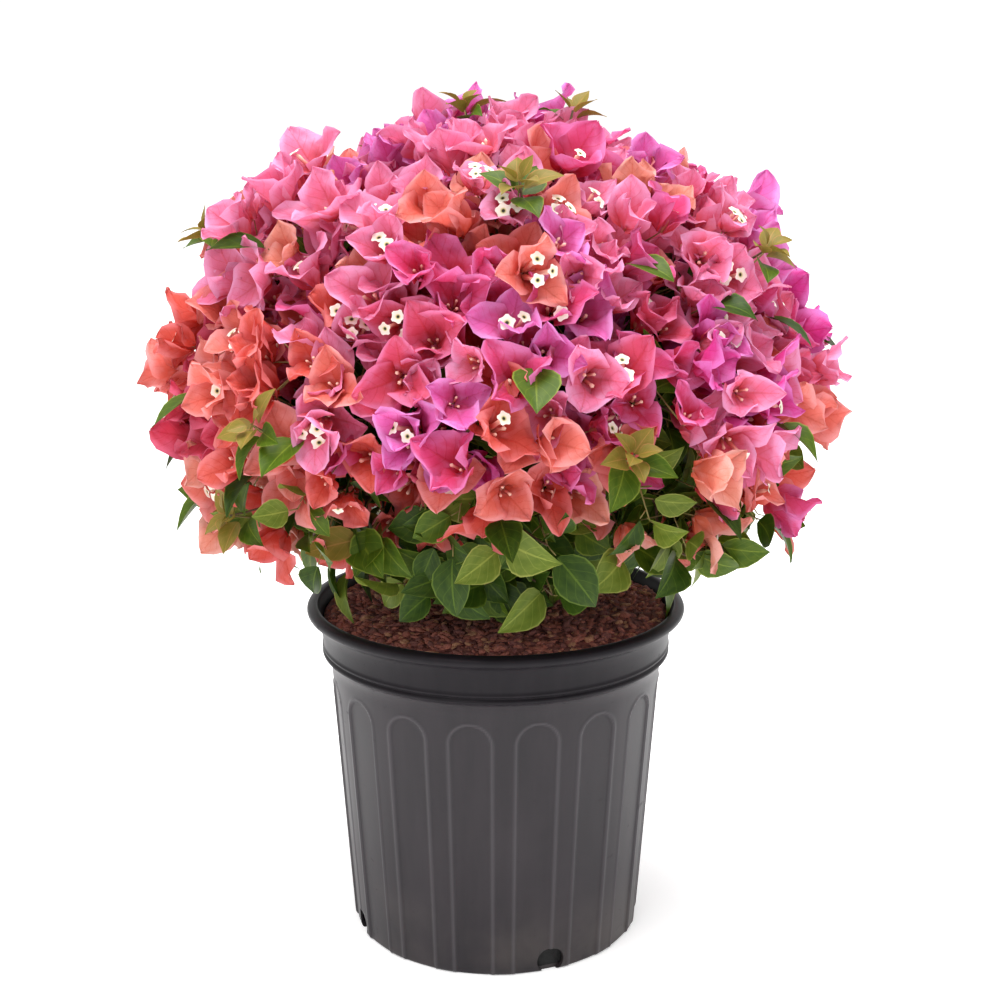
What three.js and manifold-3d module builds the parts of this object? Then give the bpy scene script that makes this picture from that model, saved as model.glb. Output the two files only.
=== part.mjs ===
// A flowering bougainvillea bush in a fluted nursery pot, in millimetres with +Z up.
// The origin is the middle of the pot's flat underside, and -Y is the front of the bush.
// The crown is a low dome of separate leafy masses round a hollow middle, where the trunk forks into boughs.
import * as THREE from "three";
import { mergeVertices } from "three/addons/utils/BufferGeometryUtils.js";
import { ImprovedNoise } from "three/addons/math/ImprovedNoise.js";
import Module from "manifold-3d";

const wasm = await Module();
wasm.setup();

// ---- Driving dimensions ----

const GAP = 0.4; // air left between neighbouring solids

const POT_HEIGHT = 252;
const WALL = 3;
const BASE_RADIUS = 108;
const BODY_TOP_RADIUS = 122.5;
const BODY_TOP = 203; // where the fluted body meets the ledge
const COLLAR_RADIUS = 129;
const COLLAR_BOTTOM = 217;
const COLLAR_TOP = 236;
const LIP_RADIUS = 140;
const LIP_INSIDE = 132;
const LIP_ROUND = 4;
const BASE_CHAMFER = 3;
const POT_SIDES = 32;

const FLUTES = 16;
const FLUTE_DEPTH = 1.7; // at the middle of the flat panel
const FLUTE_TOP = 196;
const FLUTE_HALF_WIDTH = 14.6; // at the arch, and less at the base in step with the pot's radius
const FLUTE_TURN = THREE.MathUtils.degToRad(14.1); // the first flute to the right of the front
const HOLE_RADIUS = 10;
const HOLE_Z = 7.5;
const HOLES = 4;
const HOLE_TURN = THREE.MathUtils.degToRad(21.6); // the first hole to the right of the front

const SOIL_EDGE = 244;
const SOIL_MIDDLE = 248;
const SOIL_FLAT_RADIUS = 36; // level ground round the trunk's foot
const LOWEST_LEAF = POT_HEIGHT + 2; // the foliage hangs down to just above the pot's lip

const TRUNK_RADIUS = 10;
const TRUNK_TOP = 300;
const TRUNK_LEAN = 5;
const ROOT_FLARE = 0.7; // how much wider the foot is than the trunk above it
const BOUGH_RADIUS = 4.2;
const BOUGH_TIP_RADIUS = 2.2;

const ROUGHNESS_OF_MASS = 0.13; // share of a mass's size that its lumps stand out
const LUMP_SIZE = 46;

// Rings of masses from the top down. across and deep are the ring's half widths along X and Y, and out, side and up
// are a mass's own half sizes away from the axis, round it and upwards. fore is how much higher the masses at the
// front and back stand than those at the sides, which droop.
const RINGS = [
  { name: "crown_top", count: 1, across: 0, deep: 0, z: 532, fore: 0, out: 128, side: 128, up: 90, detail: 3 },
  { name: "upper_mass", count: 5, across: 126, deep: 120, z: 496, fore: 0, out: 88, side: 108, up: 84, detail: 3 },
  { name: "middle_mass", count: 8, across: 174, deep: 166, z: 418, fore: 8, out: 80, side: 88, up: 76, detail: 2 },
  { name: "lower_mass", count: 8, across: 172, deep: 142, z: 340, fore: 36, out: 68, side: 64, up: 50, detail: 2 },
  { name: "leaf_skirt", count: 4, across: 84, deep: 76, z: 282, fore: 8, out: 62, side: 66, up: 40, detail: 2 },
];
const LEAFY = "leaf_skirt";
const FED_BY_BOUGHS = ["crown_top", "upper_mass", "middle_mass"];

// ---- Materials ----

const material = (color, roughness) => new THREE.MeshStandardMaterial({ color, roughness, metalness: 0 });
const PLASTIC = material(0x3a383c, 0.45);
const POTTING_MIX = material(0x4b2d26, 0.95);
const BARK = material(0x6e5840, 0.85);
const BRACTS = material(0xe0508c, 0.6);
const LEAVES = material(0x3f6a2c, 0.55);

// ---- Solids ----

// A closed geometry as a solid that can be cut.
function solidOf(geometry) {
  const bare = geometry.clone();
  bare.deleteAttribute("normal");
  bare.deleteAttribute("uv");
  const merged = mergeVertices(bare, 1e-3);
  return new wasm.Manifold(
    new wasm.Mesh({
      numProp: 3,
      vertProperties: merged.attributes.position.array,
      triVerts: new Uint32Array(merged.index.array),
    }),
  );
}

function geometryOf(solid) {
  const mesh = solid.getMesh();
  const geometry = new THREE.BufferGeometry();
  geometry.setAttribute("position", new THREE.BufferAttribute(mesh.vertProperties, 3));
  geometry.setIndex(new THREE.BufferAttribute(mesh.triVerts, 1));
  geometry.computeVertexNormals();
  return geometry;
}

const largestBody = (solid) =>
  solid.decompose().reduce((best, body) => (body.volume() > best.volume() ? body : best));

function lathe(outline) {
  const points = outline.map(([radius, z]) => new THREE.Vector2(radius, z));
  return new THREE.LatheGeometry(points, POT_SIDES).rotateX(Math.PI / 2);
}

// ---- Pot ----

const wallSlope = Math.atan((BODY_TOP_RADIUS - BASE_RADIUS) / BODY_TOP);
const wallRadius = (z) => BASE_RADIUS + z * Math.tan(wallSlope);

function potBlank() {
  return lathe([
    [0, 0],
    [BASE_RADIUS - BASE_CHAMFER, 0],
    [wallRadius(BASE_CHAMFER), BASE_CHAMFER],
    [BODY_TOP_RADIUS, BODY_TOP],
    [COLLAR_RADIUS, COLLAR_BOTTOM],
    [COLLAR_RADIUS, COLLAR_TOP],
    [LIP_RADIUS, COLLAR_TOP + LIP_ROUND],
    [LIP_RADIUS, POT_HEIGHT - LIP_ROUND],
    [LIP_RADIUS - LIP_ROUND, POT_HEIGHT],
    [LIP_INSIDE, POT_HEIGHT],
    [COLLAR_RADIUS - WALL, POT_HEIGHT - 2 * LIP_ROUND],
    [COLLAR_RADIUS - WALL, COLLAR_BOTTOM + WALL],
    [BODY_TOP_RADIUS - WALL, BODY_TOP + WALL],
    [wallRadius(WALL) - WALL, WALL],
    [0, WALL],
  ]);
}

// The cutter of one flute: a flat panel with a round top, which lies along the sloping wall at the front.
function fluteCutter() {
  const archCentre = FLUTE_TOP - FLUTE_HALF_WIDTH;
  const footHalfWidth = (FLUTE_HALF_WIDTH * BASE_RADIUS) / BODY_TOP_RADIUS;
  const belowBase = 5;
  const outline = new THREE.Shape();
  outline.moveTo(-footHalfWidth, -belowBase);
  outline.lineTo(footHalfWidth, -belowBase);
  outline.lineTo(FLUTE_HALF_WIDTH, archCentre);
  outline.absarc(0, archCentre, FLUTE_HALF_WIDTH, 0, Math.PI, false);
  const depth = 3 * WALL;
  const cutter = new THREE.ExtrudeGeometry(outline, { depth, bevelEnabled: false, curveSegments: 5 });
  cutter.rotateX(Math.PI / 2 + wallSlope);
  cutter.translate(0, -(BASE_RADIUS - FLUTE_DEPTH), 0);
  return cutter;
}

function drainCutter() {
  const cutter = new THREE.CylinderGeometry(HOLE_RADIUS, HOLE_RADIUS, 9 * WALL, 10);
  return cutter.translate(0, -BASE_RADIUS, HOLE_Z);
}

function pot() {
  let solid = solidOf(potBlank());
  for (let i = 0; i < FLUTES; i++) {
    const turn = FLUTE_TURN + (i * 2 * Math.PI) / FLUTES;
    solid = solid.subtract(solidOf(fluteCutter().rotateZ(turn)));
  }
  for (let i = 0; i < HOLES; i++) {
    const turn = HOLE_TURN + (i * 2 * Math.PI) / HOLES;
    solid = solid.subtract(solidOf(drainCutter().rotateZ(turn)));
  }
  return new THREE.Mesh(geometryOf(solid), PLASTIC);
}

function pottingMix() {
  const inside = WALL + GAP;
  const geometry = lathe([
    [0, inside],
    [wallRadius(WALL) - inside, inside],
    [BODY_TOP_RADIUS - inside, BODY_TOP + WALL],
    [COLLAR_RADIUS - inside, COLLAR_BOTTOM + WALL],
    [COLLAR_RADIUS - inside, SOIL_EDGE - 2],
    [COLLAR_RADIUS - inside - 4, SOIL_EDGE],
    [SOIL_FLAT_RADIUS, SOIL_MIDDLE],
    [0, SOIL_MIDDLE],
  ]);
  return new THREE.Mesh(geometry, POTTING_MIX);
}

// ---- Trunk and boughs ----

// A closed limb along a curve: a capped cylinder whose rings are moved on to the curve.
function limb(curve, radiusAt, sides, steps) {
  const frames = curve.computeFrenetFrames(steps);
  const geometry = new THREE.CylinderGeometry(1, 1, 1, sides, steps);
  const places = geometry.attributes.position;
  const place = new THREE.Vector3();
  for (let i = 0; i < places.count; i++) {
    const share = places.getY(i) + 0.5;
    const step = Math.round(share * steps);
    const radius = radiusAt(share, Math.atan2(places.getZ(i), places.getX(i)));
    curve.getPointAt(share, place);
    place.addScaledVector(frames.normals[step], radius * places.getX(i));
    place.addScaledVector(frames.binormals[step], -radius * places.getZ(i));
    places.setXYZ(i, place.x, place.y, place.z);
  }
  return geometry;
}

const trunkFoot = new THREE.Vector3(0, 0, SOIL_MIDDLE + GAP);
const trunkHead = new THREE.Vector3(TRUNK_LEAN, 0, TRUNK_TOP);

function trunkGeometry(extra = 0) {
  const kneeHeight = (TRUNK_TOP - SOIL_MIDDLE) * 0.5;
  const knee = trunkFoot.clone().add(new THREE.Vector3(0, 0, kneeHeight));
  const curve = new THREE.QuadraticBezierCurve3(trunkFoot, knee, trunkHead);
  const radiusAt = (share, angle) => {
    const flare = ROOT_FLARE * Math.exp(-share / 0.16) * (1 + 0.3 * Math.cos(5 * angle));
    return TRUNK_RADIUS * (1 - 0.25 * share) * (1 + flare) + extra;
  };
  return limb(curve, radiusAt, 10, 5);
}

// A bough arches from the trunk's head to the middle of its mass.
function boughGeometry(mass, index, extra = 0) {
  const start = trunkHead.clone();
  start.z -= 6 + 8 * (index % 3);
  start.x *= (start.z - SOIL_MIDDLE) / (TRUNK_TOP - SOIL_MIDDLE);
  const bend = start.clone().lerp(mass.centre, 0.45);
  bend.z += 0.12 * mass.centre.distanceTo(start);
  const curve = new THREE.QuadraticBezierCurve3(start, bend, mass.centre);
  const radiusAt = (share) => THREE.MathUtils.lerp(BOUGH_RADIUS, BOUGH_TIP_RADIUS, share) + extra;
  return limb(curve, radiusAt, 5, 3);
}

// ---- Masses of bracts and leaves ----

const noise = new ImprovedNoise();

// A number from -1 to 1 that differs from mass to mass.
const vary = (index, salt) => Math.sin(index * 12.9898 + salt * 78.233);

function layOutMasses() {
  const masses = [];
  for (const ring of RINGS) {
    for (let i = 0; i < ring.count; i++) {
      const number = masses.length;
      const spread = ring.count > 1 ? 0.06 : 0;
      const turn = (2 * Math.PI * (i + spread * vary(number, 1))) / ring.count;
      const away = new THREE.Vector3(Math.sin(turn), -Math.cos(turn), 0);
      const round = new THREE.Vector3(-away.y, away.x, 0);
      const rise = ring.fore * away.y ** 2 + (ring.count > 1 ? 4 * vary(number, 2) : 0);
      masses.push({
        name: ring.count > 1 ? ring.name + "_" + (i + 1) : ring.name,
        ring,
        number,
        away,
        round,
        centre: new THREE.Vector3(ring.across * away.x, ring.deep * away.y, ring.z + rise),
        weight: (ring.out + ring.side + ring.up) / 3,
      });
    }
  }
  return masses;
}

// How far a mass reaches from its centre along a direction: its own lumpy ovoid, cut by the planes that part it from
// its neighbours.
function reach(mass, direction, masses) {
  const { out, side, up } = mass.ring;
  const ovoid = 1 / Math.hypot(direction.dot(mass.away) / out, direction.dot(mass.round) / side, direction.z / up);
  const skin = mass.centre.clone().addScaledVector(direction, ovoid).divideScalar(LUMP_SIZE);
  const lump = noise.noise(skin.x + 3 * mass.number, skin.y, skin.z);
  let far = ovoid * (1 + ROUGHNESS_OF_MASS * lump);
  if (direction.z < 0) far = Math.min(far, (LOWEST_LEAF - mass.centre.z) / direction.z);
  for (const other of masses) {
    if (other === mass) continue;
    const between = other.centre.clone().sub(mass.centre);
    const apart = between.length();
    const facing = direction.dot(between) / apart;
    if (facing <= 0) continue;
    const plane = (apart * mass.weight) / (mass.weight + other.weight) - GAP;
    far = Math.min(far, plane / facing);
  }
  return far;
}

function massGeometry(mass, masses, extra = 0) {
  const geometry = new THREE.IcosahedronGeometry(1, mass.ring.detail);
  const places = geometry.attributes.position;
  const direction = new THREE.Vector3();
  for (let i = 0; i < places.count; i++) {
    direction.fromBufferAttribute(places, i).normalize();
    const far = reach(mass, direction, masses) + extra;
    direction.multiplyScalar(far).add(mass.centre);
    places.setXYZ(i, direction.x, direction.y, direction.z);
  }
  return geometry;
}

// ---- The whole plant ----

const bush = new THREE.Group();

function place(name, mesh) {
  mesh.name = name;
  bush.add(mesh);
}

place("pot", pot());
place("potting_mix", pottingMix());
place("trunk", new THREE.Mesh(trunkGeometry(), BARK));

const masses = layOutMasses();
for (const mass of masses) {
  const skin = mass.ring.name === LEAFY ? LEAVES : BRACTS;
  place(mass.name, new THREE.Mesh(massGeometry(mass, masses), skin));
}

// The boughs are cut clear of the trunk, of the masses and of the boughs before them.
let taken = solidOf(trunkGeometry(GAP));
for (const mass of masses) taken = taken.add(solidOf(massGeometry(mass, masses, GAP)));
masses
  .filter((mass) => FED_BY_BOUGHS.includes(mass.ring.name))
  .forEach((mass, index) => {
    const solid = largestBody(solidOf(boughGeometry(mass, index)).subtract(taken));
    place("bough_to_" + mass.name, new THREE.Mesh(geometryOf(solid), BARK));
    taken = taken.add(solidOf(boughGeometry(mass, index, GAP)));
  });

export default bush;
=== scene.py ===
"""A bougainvillea in flower in a fluted nursery pot, in metres, with +Z up and -Y the front."""

import math
import random

import bmesh
import bpy
import numpy as np
from mathutils import Matrix, Vector, noise
from mathutils.bvhtree import BVHTree
from mathutils.kdtree import KDTree


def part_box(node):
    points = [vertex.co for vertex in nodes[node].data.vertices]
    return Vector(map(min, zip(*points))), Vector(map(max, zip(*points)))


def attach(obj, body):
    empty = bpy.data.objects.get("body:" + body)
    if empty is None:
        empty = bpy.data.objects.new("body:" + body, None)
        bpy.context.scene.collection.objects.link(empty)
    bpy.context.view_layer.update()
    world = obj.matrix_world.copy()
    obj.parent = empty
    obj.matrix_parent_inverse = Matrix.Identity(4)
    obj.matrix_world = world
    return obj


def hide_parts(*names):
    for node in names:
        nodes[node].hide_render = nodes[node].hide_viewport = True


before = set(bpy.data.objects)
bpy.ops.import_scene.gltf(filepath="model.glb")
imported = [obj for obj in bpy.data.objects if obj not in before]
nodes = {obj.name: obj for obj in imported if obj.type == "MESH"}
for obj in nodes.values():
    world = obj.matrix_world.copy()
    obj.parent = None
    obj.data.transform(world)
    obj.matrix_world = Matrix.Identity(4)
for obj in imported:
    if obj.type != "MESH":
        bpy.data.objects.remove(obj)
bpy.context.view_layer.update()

MM = 0.001
UP = Vector((0, 0, 1))
DOWN = -UP
PATTERN = "OFBake"  # the map on which a leaf's or a bract's veins are drawn

# ---- The plant's own measures, in millimetres ----

BRACT_LENGTH = 35
BRACT_WIDTH = 32
LEAF_LENGTH = 43
LEAF_WIDTH = 30
STAR_WIDTH = 9.5
TUBE_LENGTH = 12
BRACT_FOOT = 1.2  # from a cup's middle to each bract's foot

SPRAYS = 300  # flowering twigs on the whole sphere round the crown's heart, of which the lowest are left out
GREEN_SPRAYS = 500  # leafy twigs, reckoned likewise, of which only those of the skirt are kept
CUP_LAYERS = (
    # cups on the whole sphere, how far their feet lie under the crown's skin, and the layer
    (620, 34, 0),
    (500, 50, 1),
    (250, 72, 2),
)
FRINGE_AT_FRONT = 342
FRINGE_AT_SIDES = 309
LOOSE_AT_FRONT = 36  # for how far above the fringe the flowers hang loosely, with sky between them
LOOSE_AT_SIDES = 78
WARM_AT_FRONT = 64  # for how far above the fringe the flowers are warm in colour
WARM_AT_SIDES = 118
BOWL_MIDDLE = 15  # from a cup's foot to the middle of its bowl, which leaves keep out of
BOWL_RADIUS = 16
SKIRT_REACH = 134
SKIRT_FOOT = 282
SKIRT_WAIST = 305  # under which the skirt is drawn in, to clear the pot's lip
SKIRT_DEPTHS = (4, 40)  # how far its twigs' ends lie under the crown's skin
BLOOM_DEPTH = 48  # how far a flowering twig's end lies under the skin
CUP_SCATTER = 8  # how far a cup strays in or out from its layer
YOUNG_DEPTH = 8
CLEARING_DEPTH = 12  # how far the middle of the clearing round a young shoot lies under the skin
CLEARING_RADIUS = 20
YOUNG_ABOVE_FRINGE = 15  # the least height of a young shoot's end above the fringe
DROOPING_HEIGHT = 30  # for how far above the fringe the cups hang down
SKIRT_OVERLAP = 12  # how far the skirt rises behind the fringe
HIGHEST_SKIRT_RISE = 0.05  # of a direction of length 1 from the crown's heart
SHOWING_DEPTH = 22
OUTER_LEAVES_BACK = 22  # how far behind its twig's end the leaves behind the flowers begin

# Accents, each kind spread evenly over the whole sphere like the sprays.
YOUNG_SHOOTS = 20
SHOWING_LEAVES = 60
STAR_DRIFT = 12  # how tightly the open flowers gather in drifts: larger is tighter
GOLDEN_TURN = math.pi * (3 - math.sqrt(5))
LEAF_TURN = 2.4  # from one leaf to the next round a stem, in radians

chance = random.Random(11)
tint_chance = random.Random(19)  # for the colours alone, so that they don't stir the shapes


# ---- Sums with vectors ----


def paint(red, green, blue):
    """A colour given as it looks on a screen, from 0 to 255, as the light it reflects."""
    parts = [part / 255 for part in (red, green, blue)]
    return [part / 12.92 if part <= 0.04045 else ((part + 0.055) / 1.055) ** 2.4 for part in parts] + [1]


def smooth_step(low, high, value):
    share = np.clip((value - low) / (high - low), 0, 1)
    return share * share * (3 - 2 * share)


def stray(direction, degrees):
    """The direction turned a little, at random."""
    wander = Vector((chance.gauss(0, 1), chance.gauss(0, 1), chance.gauss(0, 1)))
    wander -= wander.project(direction)
    if wander.length < 1e-6:
        return direction.normalized()
    lean = math.tan(math.radians(chance.uniform(0, degrees)))
    return (direction.normalized() + wander.normalized() * lean).normalized()


def square_to(axis, turn):
    """The direction square to an axis, at a turn about it."""
    x = axis.orthogonal().normalized()
    return x * math.cos(turn) + axis.cross(x) * math.sin(turn)


def stand(place, along, facing, size):
    """The placing of a shape whose Y runs along a direction and whose Z faces another as nearly as it can."""
    y = along.normalized()
    x = y.cross(facing)
    if x.length < 1e-4:
        x = y.orthogonal()
    x.normalize()
    z = x.cross(y)
    turn = Matrix((x, y, z)).transposed() * size
    return np.array(turn), np.array(place)


def stand_up(place, axis, roll, size=1.0):
    """The placing of a shape whose Z stands along an axis, rolled about it."""
    z = axis.normalized()
    x = z.orthogonal().normalized()
    y = z.cross(x)
    x, y = x * math.cos(roll) + y * math.sin(roll), y * math.cos(roll) - x * math.sin(roll)
    turn = Matrix((x, y, z)).transposed() * size
    return np.array(turn), np.array(place)


# ---- Finishes ----


class Signal:
    """A socket of a shader that can be reckoned with."""

    def __init__(self, finish, socket):
        self.finish = finish
        self.socket = socket

    def _sum(self, operation, *values):
        return self.finish.node("ShaderNodeMath", {"operation": operation}, dict(enumerate(values)))

    def __add__(self, other):
        return self._sum("ADD", self, other)

    def __radd__(self, other):
        return self._sum("ADD", other, self)

    def __sub__(self, other):
        return self._sum("SUBTRACT", self, other)

    def __rsub__(self, other):
        return self._sum("SUBTRACT", other, self)

    def __mul__(self, other):
        return self._sum("MULTIPLY", self, other)

    def __rmul__(self, other):
        return self._sum("MULTIPLY", other, self)

    def __truediv__(self, other):
        return self._sum("DIVIDE", self, other)

    def __pow__(self, other):
        return self._sum("POWER", self, other)

    def __abs__(self):
        return self._sum("ABSOLUTE", self)

    def fraction(self):
        return self._sum("FRACT", self)

    def above(self, low, high):
        """0 below low, 1 above high and a smooth rise between."""
        inlets = {"Value": self, "From Min": low, "From Max": high}
        return self.finish.node("ShaderNodeMapRange", {"interpolation_type": "SMOOTHSTEP"}, inlets)


class Finish:
    """A material, made node by node."""

    def __init__(self, name):
        self.material = bpy.data.materials.new(name)
        self.material.use_nodes = True
        self.tree = self.material.node_tree
        self.tree.nodes.clear()

    def node(self, kind, settings, inlets, outlet=0):
        made = self.tree.nodes.new(kind)
        for key, value in settings.items():
            if key == "stops":
                self._set_stops(made.color_ramp, value)
            else:
                setattr(made, key, value)
        for key, value in inlets.items():
            if isinstance(value, Signal):
                self.tree.links.new(value.socket, made.inputs[key])
            else:
                made.inputs[key].default_value = value
        return Signal(self, made.outputs[outlet]) if made.outputs else None

    def _set_stops(self, ramp, stops):
        while len(ramp.elements) < len(stops):
            ramp.elements.new(1)
        for element, (position, tint) in zip(ramp.elements, stops):
            element.position = position
            element.color = tint

    def ramp(self, share, *stops):
        return self.node("ShaderNodeValToRGB", {"stops": stops}, {"Fac": share})

    def blend(self, share, first, second):
        return self.node("ShaderNodeMix", {"data_type": "RGBA"}, {0: share, 6: first, 7: second}, 2)

    def on_pattern(self):
        """Across and along a leaf or bract, each from 0 to 1, and the place on its map."""
        place = self.node("ShaderNodeUVMap", {"uv_map": PATTERN}, {})
        return self.part(place, 0), self.part(place, 1), place

    def in_place(self):
        return self.node("ShaderNodeTexCoord", {}, {}, "Object")

    def part(self, place, axis):
        """A place's measure along X, Y or Z, which are 0, 1 and 2."""
        return self.node("ShaderNodeSeparateXYZ", {}, {0: place}, axis)

    def drawn_out(self, place, scale, rotation=(0, 0, 0)):
        """A place scaled and then turned, so that what is laid on it is drawn out where the scale is small."""
        inlets = {"Vector": place, "Rotation": rotation, "Scale": scale}
        return self.node("ShaderNodeMapping", {}, inlets)

    def grain(self, place, scale, detail=3, roughness=0.55):
        inlets = {"Vector": place, "Scale": scale, "Detail": detail, "Roughness": roughness}
        return self.node("ShaderNodeTexNoise", {}, inlets)

    def cells(self, place, scale, feature="DISTANCE_TO_EDGE"):
        settings = {"feature": feature}
        return self.node("ShaderNodeTexVoronoi", settings, {"Vector": place, "Scale": scale})

    def relief(self, height, strength, distance):
        inlets = {"Height": height, "Strength": strength, "Distance": distance}
        return self.node("ShaderNodeBump", {}, inlets)

    def surface(self, inlets, glow=None):
        """Ends the material. glow is how much light passes through a thin leaf, and its tint."""
        shader = self.node("ShaderNodeBsdfPrincipled", {}, inlets)
        if glow:
            through, tint = glow
            passing = self.node("ShaderNodeBsdfTranslucent", {}, {"Color": tint})
            shader = self.node("ShaderNodeMixShader", {}, {0: through, 1: shader, 2: passing})
        self.node("ShaderNodeOutputMaterial", {}, {"Surface": shader})
        return self.material


def papery_bract(name, heart, face, rim):
    """Thin papery bract: deep at its heart, pale at its rim, with a net of fine veins."""
    finish = Finish(name)
    u, v, place = finish.on_pattern()
    aside = abs(u - 0.5) * 2
    midrib = 1 - aside.above(0.015, 0.06)
    ribs = abs(((v - aside * 0.28) * 7).fraction() - 0.5)
    side_veins = (1 - ribs.above(0.02, 0.09)) * (1 - aside.above(0.55, 0.95))
    net = 1 - finish.cells(place, 13).above(0.0, 0.09)
    veins = midrib * 0.6 + side_veins * 0.5 + net * 0.26
    tint = finish.blend(v.above(0.0, 0.75), heart, face)
    cloud = finish.grain(place, 2.6, 2).above(0.38, 0.7)
    tint = finish.blend(cloud * 0.4, tint, rim)
    edge = aside.above(0.5, 1.0) * v.above(0.15, 0.55)
    tint = finish.blend(edge * 0.7, tint, rim)
    tint = finish.blend(veins * 0.5, tint, heart)
    bump = finish.relief(midrib + side_veins * 0.7, 0.4, 0.0006)
    inlets = {"Base Color": tint, "Roughness": 0.6, "Normal": bump, "Specular IOR Level": 0.3}
    return finish.surface(inlets, glow=(0.34, tint))


def green_leaf(name, blade, vein, rim):
    """Soft leaf: paler midrib and side veins, and a thin pale margin."""
    finish = Finish(name)
    u, v, place = finish.on_pattern()
    aside = abs(u - 0.5) * 2
    midrib = 1 - aside.above(0.02, 0.07)
    ribs = abs(((v - aside * 0.3) * 6).fraction() - 0.5)
    side_veins = 1 - ribs.above(0.015, 0.07)
    cloud = finish.grain(place, 4, 3).above(0.3, 0.8)
    tint = finish.blend(cloud * 0.35, blade, vein)
    tint = finish.blend(midrib * 0.75 + side_veins * 0.28, tint, vein)
    tint = finish.blend(aside.above(0.88, 1.0) * 0.6, tint, rim)
    bump = finish.relief(midrib + side_veins * 0.6, -0.5, 0.0007)
    inlets = {"Base Color": tint, "Roughness": 0.45, "Normal": bump, "Specular IOR Level": 0.16}
    return finish.surface(inlets, glow=(0.2, tint))


def cream_star(name):
    """Little cream flower with a dark eye in a greenish throat."""
    finish = Finish(name)
    u, v, place = finish.on_pattern()
    away = ((u - 0.5) ** 2 + (v - 0.5) ** 2) ** 0.5
    tint = finish.ramp(
        away * 2,
        (0.0, paint(22, 24, 12)),
        (0.17, paint(38, 38, 18)),
        (0.26, paint(206, 205, 130)),
        (0.42, paint(247, 244, 224)),
        (1.0, paint(252, 250, 240)),
    )
    fold = finish.grain(place, 9, 2)
    inlets = {"Base Color": tint, "Roughness": 0.55, "Normal": finish.relief(fold, 0.2, 0.0004)}
    return finish.surface(inlets, glow=(0.2, tint))


def flower_tube(name, low, middle, tip):
    finish = Finish(name)
    _, v, place = finish.on_pattern()
    tint = finish.ramp(v, (0.0, low), (0.45, middle), (0.86, tip), (1.0, tip))
    ridges = finish.grain(place, 14, 2)
    inlets = {"Base Color": tint, "Roughness": 0.6, "Normal": finish.relief(ridges, 0.4, 0.0004)}
    return finish.surface(inlets)


def green_twig(name, young, old):
    finish = Finish(name)
    _, _, place = finish.on_pattern()
    streaks = finish.grain(place, 11, 4).above(0.35, 0.7)
    tint = finish.blend(streaks, young, old)
    inlets = {"Base Color": tint, "Roughness": 0.7, "Normal": finish.relief(streaks, 0.5, 0.0004)}
    return finish.surface(inlets)


def bark(name):
    """Grey-brown bark with furrows that run along the limb and scattered pale breathing pores."""
    finish = Finish(name)
    place = finish.in_place()
    drawn = finish.drawn_out(place, (1, 1, 0.28))
    furrows = finish.grain(drawn, 210, 6, 0.65)
    patches = finish.grain(place, 45, 3)
    tint = finish.ramp(
        furrows * 0.75 + patches * 0.25,
        (0.3, paint(52, 36, 26)),
        (0.5, paint(98, 76, 56)),
        (0.68, paint(140, 117, 92)),
    )
    pores = 1 - finish.cells(drawn, 320, "F1").above(0.12, 0.24)
    tint = finish.blend(pores * 0.5, tint, paint(170, 150, 122))
    bump = finish.relief(furrows + pores * 0.25, 0.9, 0.0022)
    return finish.surface({"Base Color": tint, "Roughness": 0.85, "Normal": bump})


def moulded_plastic(name, sheen):
    """Charcoal plastic with a soft sheen, faint flow marks, scuffs, a little dust near the foot, a painted
    highlight on the flutes' fine ridges and painted shade on the collar.
    """
    finish = Finish(name)
    place = finish.in_place()
    drawn = finish.drawn_out(place, (1, 1, 0.12))
    flow = finish.grain(drawn, 60, 4)
    clouds = finish.grain(place, 14, 4)
    speck = finish.grain(place, 900, 2)
    height = finish.part(place, 2)
    tint = finish.blend(flow.above(0.3, 0.75), paint(25, 20, 25), paint(35, 29, 34))
    tint = finish.blend(clouds.above(0.4, 0.8) * 0.5, tint, paint(46, 40, 44))
    dust = (1 - height.above(0.0, 0.07)) * clouds.above(0.35, 0.7)
    tint = finish.blend(dust * 0.3, tint, paint(92, 84, 78))
    # Painted highlight: the fine ridge round each flute is painted a lighter grey.
    worn = finish.node("ShaderNodeAttribute", {"attribute_name": "worn"}, {}, "Fac")
    tint = finish.blend(worn * 0.32, tint, paint(96, 92, 96))
    aslant = finish.drawn_out(place, (1, 0.05, 1), (0.4, 0.2, 0.9))
    scratch = finish.grain(aslant, 160, 3).above(0.66, 0.72)
    # Painted shade: the collar above the ledge is painted darker.
    collar_shade = height.above(0.213, 0.216)
    tint = finish.blend(collar_shade * 0.5, tint, paint(16, 16, 19))
    rough = 0.34 + clouds * 0.16 + scratch * 0.12
    bump = finish.relief(speck * 0.6 + flow * 0.4, 0.12, 0.0006)
    inlets = {"Base Color": tint, "Roughness": rough, "Normal": bump, "Specular IOR Level": sheen}
    return finish.surface(inlets)


def damp_bark_mix(name, dark, light):
    finish = Finish(name)
    place = finish.in_place()
    crumbs = finish.grain(place, 130, 6, 0.7)
    fibres = finish.cells(place, 260, "F1")
    tint = finish.blend(crumbs.above(0.35, 0.7), dark, light)
    # Painted shade: low in the pot the mix darkens to near black, so it reads dark through the drain notches.
    tint = finish.blend(finish.part(place, 2).above(0.15, 0.23), paint(6, 5, 5), tint)
    bump = finish.relief(crumbs + fibres * 0.4, 0.9, 0.002)
    rough = 0.7 + crumbs * 0.3
    return finish.surface({"Base Color": tint, "Roughness": rough, "Normal": bump})


def bark_chip(name, dark, light):
    finish = Finish(name)
    _, _, place = finish.on_pattern()
    drawn = finish.drawn_out(place, (1, 5, 1))
    fibres = finish.grain(drawn, 5, 5, 0.65)
    tint = finish.blend(fibres.above(0.3, 0.7), dark, light)
    bump = finish.relief(fibres, 0.8, 0.001)
    return finish.surface({"Base Color": tint, "Roughness": 0.8, "Normal": bump})


# ---- Making meshes ----


def in_scene(name, data):
    """A new object in the scene."""
    made = bpy.data.objects.new(name, data)
    bpy.context.scene.collection.objects.link(made)
    return made


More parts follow.
